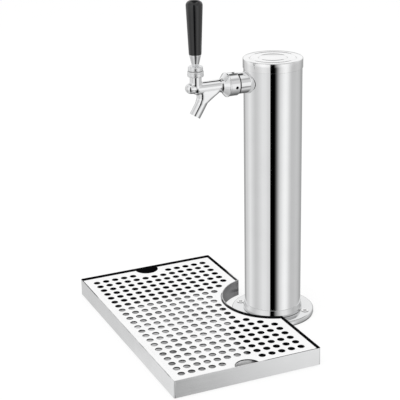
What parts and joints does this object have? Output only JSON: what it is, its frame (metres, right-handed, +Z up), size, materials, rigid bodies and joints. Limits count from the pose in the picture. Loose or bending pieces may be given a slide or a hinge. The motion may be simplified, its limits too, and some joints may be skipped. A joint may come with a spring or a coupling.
{
  "type": "beer tower dispenser",
  "caption": "Polished steel draught beer column with a rear-sealing chrome faucet, black tap handle, round base flange and a drip tray with a lift-off perforated grid.",
  "frame": {"origin": "the column's axis on the counter plane, at the underside of the base gasket and the tray's feet", "axes": "+Z up along the column; the faucet and the drip tray lie towards -Y; +X is to the right of someone who faces the tap from behind the column"},
  "size_m": [0.34, 0.276, 0.4425],
  "materials": {
    "column_steel": "polished stainless steel, vertical grain",
    "base_steel": "polished stainless steel",
    "screw_steel": "bright stainless steel",
    "cap_steel": "polished stainless steel, turned rings",
    "faucet_chrome": "polished chrome plate",
    "valve_steel": "machined stainless steel",
    "handle_plastic": "gloss black moulded plastic",
    "brass": "machined brass",
    "seal_rubber": "black sealing rubber",
    "feet_rubber": "dark grey rubber",
    "white_plastic": "moulded plastic",
    "line_plastic": "clear flexible tubing",
    "foam": "foam insulation",
    "tray_steel": "brushed stainless steel",
    "grid_steel": "brushed stainless steel sheet"
  },
  "bodies": {
    "tower": {"column_tube": "column_steel", "base_flange": "base_steel", "base_collar": "base_steel", "base_gasket": "seal_rubber", "flange_screws": "screw_steel", "foam_insulation": "foam", "shank_sleeve": "faucet_chrome", "saddle_gasket": "seal_rubber", "faucet_shank": "faucet_chrome", "inner_saddle": "white_plastic", "shank_locknut": "faucet_chrome", "line_elbow": "faucet_chrome", "beer_line": "line_plastic", "hose_clamps": "screw_steel", "line_coupler": "faucet_chrome", "coupling_gasket": "seal_rubber", "faucet_body": "faucet_chrome", "nose_plug": "faucet_chrome", "ball_seat": "white_plastic", "friction_ring": "white_plastic", "lever_bonnet": "faucet_chrome"},
    "cap": {"top_cap": "cap_steel", "cap_plug": "white_plastic"},
    "nut": {"coupling_nut": "faucet_chrome"},
    "tap_lever": {"lever": "faucet_chrome", "lever_collar": "faucet_chrome", "handle_ferrule": "faucet_chrome", "tap_handle": "handle_plastic", "handle_insert": "brass"},
    "valve": {"valve_shaft": "valve_steel", "seat_washer": "seal_rubber", "shaft_nut": "valve_steel"},
    "tray": {"tray_pan": "tray_steel", "tray_feet": "feet_rubber"},
    "grid": {"drip_grid": "grid_steel", "grid_legs": "tray_steel"}
  },
  "joints": [
    {"name": "lever_tilt", "type": "hinge", "parent": "tower", "child": "tap_lever", "pos_m": [0, -0.109, 0.345], "axis": [1, 0, 0], "range_deg": [0, 22]},
    {"name": "valve_slide", "type": "slide", "parent": "tower", "child": "valve", "axis": [0, 1, 0], "range_m": [0, 0.006]},
    {"name": "nut_turn", "type": "hinge", "parent": "tower", "child": "nut", "pos_m": [0, -0.06, 0.3295], "axis": [0, -1, 0], "range_deg": [0, 360]},
    {"name": "cap_lift", "type": "slide", "parent": "tower", "child": "cap", "axis": [0, 0, 1], "range_m": [0, 0.03]},
    {"name": "tray_pull", "type": "slide", "parent": "tower", "child": "tray", "axis": [0, -1, 0], "range_m": [0, 0.1]},
    {"name": "grid_lift", "type": "slide", "parent": "tray", "child": "grid", "axis": [0, 0, 1], "range_m": [0, 0.04]}
  ],
  "couplings": [
    {"joint": "valve_slide", "follows": "lever_tilt", "m_per_rad": 0.015}
  ]
}
